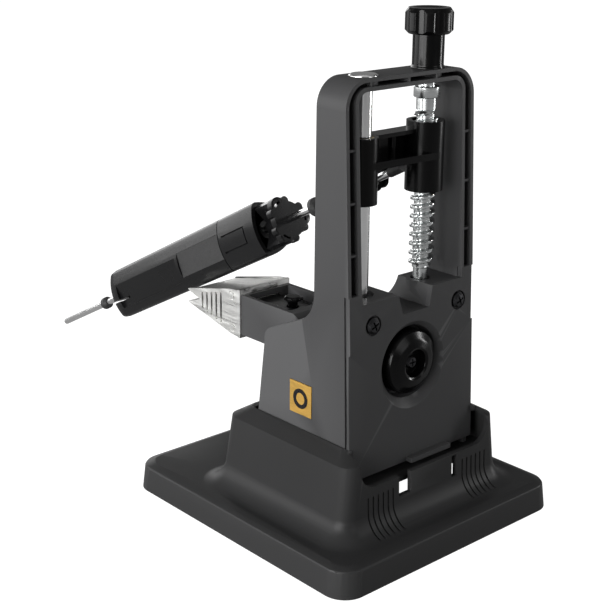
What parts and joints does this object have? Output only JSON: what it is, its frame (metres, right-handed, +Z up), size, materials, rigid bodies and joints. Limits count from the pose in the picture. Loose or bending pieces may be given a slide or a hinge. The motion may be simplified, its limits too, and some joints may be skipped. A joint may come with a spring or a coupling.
{
  "type": "guided rod knife sharpener",
  "caption": "Bench sharpener: a clamp on a flip-over arm holds a blade under a rod-guided abrasive handle whose pivot is raised by a knob and screw.",
  "frame": {"origin": "on the supporting surface, under the middle of the base", "axes": "+Z up; -Y is the front, where the clamp and the rod point; +X is to the right seen from the front"},
  "size_m": [0.14, 0.3258, 0.2354],
  "materials": {
    "base_plastic": "moulded, fine even grain, low sheen",
    "body_plastic": "moulded, fine grain",
    "satin_plastic": "smooth satin black",
    "handle_plastic": "moulded, smooth, slightly worn",
    "rubber": "soft black",
    "black_screw": "black oxide",
    "gold_badge": "satin gold",
    "chrome_rod": "polished",
    "bush_brass": "turned",
    "zinc_screw": "bright zinc plated",
    "jaw_steel": "bright stamped steel",
    "coarse_abrasive": "diamond grit on nickel, coarse",
    "fine_abrasive": "diamond grit on nickel, fine",
    "ceramic_abrasive": "bonded ceramic"
  },
  "bodies": {
    "base": {"base_shell": "base_plastic", "rubber_feet": "rubber", "tower_front_housing": "body_plastic", "tower_rear_cover": "body_plastic", "cover_screws": "black_screw", "badge": "gold_badge", "guide_rod": "chrome_rod", "screw_foot_bush": "bush_brass"},
    "screw": {"lead_screw": "zinc_screw", "adjusting_knob": "satin_plastic"},
    "lifting_carriage": {"carriage": "satin_plastic", "guide_bush": "bush_brass", "drive_nut": "bush_brass"},
    "yoke": {"swivel_yoke": "satin_plastic"},
    "ring": {"pivot_ring": "satin_plastic", "pivot_ball": "chrome_rod"},
    "rod": {"sharpening_rod": "chrome_rod", "rod_tail_sleeve": "rubber", "rod_rings": "rubber"},
    "handle": {"handle_body": "handle_plastic", "handle_end_cap": "handle_plastic", "coarse_plate": "coarse_abrasive", "fine_plate": "fine_abrasive", "ceramic_plate": "ceramic_abrasive"},
    "clamp": {"clamp_spindle": "zinc_screw", "spindle_hub": "satin_plastic", "hub_screw": "black_screw", "clamp_arm": "body_plastic", "jaw_frame": "jaw_steel", "jaw_pins": "jaw_steel", "upper_jaw": "jaw_steel"},
    "clamp_wheel": {"jaw_screw": "satin_plastic"},
    "moving_jaw": {"lower_jaw": "jaw_steel"}
  },
  "joints": [
    {"name": "knob_turn", "type": "hinge", "parent": "base", "child": "screw", "pos_m": [-0.0179, 0.031, 0.2], "axis": [0, 0, 1], "range_deg": [-2573, 353]},
    {"name": "carriage_lift", "type": "slide", "parent": "base", "child": "lifting_carriage", "axis": [0, 0, 1], "range_m": [-0.03, 0.0041]},
    {"name": "rod_swing", "type": "hinge", "parent": "lifting_carriage", "child": "yoke", "pos_m": [0, 0.016, 0.17], "axis": [0, 0, 1], "range_deg": [-22, 22]},
    {"name": "rod_tilt", "type": "hinge", "parent": "yoke", "child": "ring", "pos_m": [0, 0.016, 0.1597], "axis": [1, 0, 0], "range_deg": [-12.5, 1.8]},
    {"name": "rod_slide", "type": "slide", "parent": "ring", "child": "rod", "axis": [0, 0.8914, 0.4532], "range_m": [-0.009, 0.0017]},
    {"name": "handle_turn", "type": "hinge", "parent": "rod", "child": "handle", "pos_m": [0, 0.016, 0.1597], "axis": [0, 0.8914, 0.4532], "range_deg": [-120, 120]},
    {"name": "clamp_flip", "type": "hinge", "parent": "base", "child": "clamp", "pos_m": [0, 0, 0.0823], "axis": [0, 1, 0], "range_deg": [-180, 180]},
    {"name": "jaw_screw_turn", "type": "hinge", "parent": "clamp", "child": "clamp_wheel", "pos_m": [0, -0.036, 0.0823], "axis": [0, 0, 1], "range_deg": [0, 901]},
    {"name": "lower_jaw_open", "type": "hinge", "parent": "clamp", "child": "moving_jaw", "pos_m": [0, -0.0635, 0.0739], "axis": [1, 0, 0], "range_deg": [0, 5]}
  ],
  "couplings": [
    {"joint": "knob_turn", "follows": "carriage_lift", "rad_per_m": 1496},
    {"joint": "rod_tilt", "follows": "carriage_lift", "rad_per_m": 7.2},
    {"joint": "handle_turn", "follows": "rod_swing", "ratio": 5.45},
    {"joint": "clamp_flip", "follows": "rod_swing", "ratio": 8.18},
    {"joint": "jaw_screw_turn", "follows": "lower_jaw_open", "ratio": 180}
  ]
}
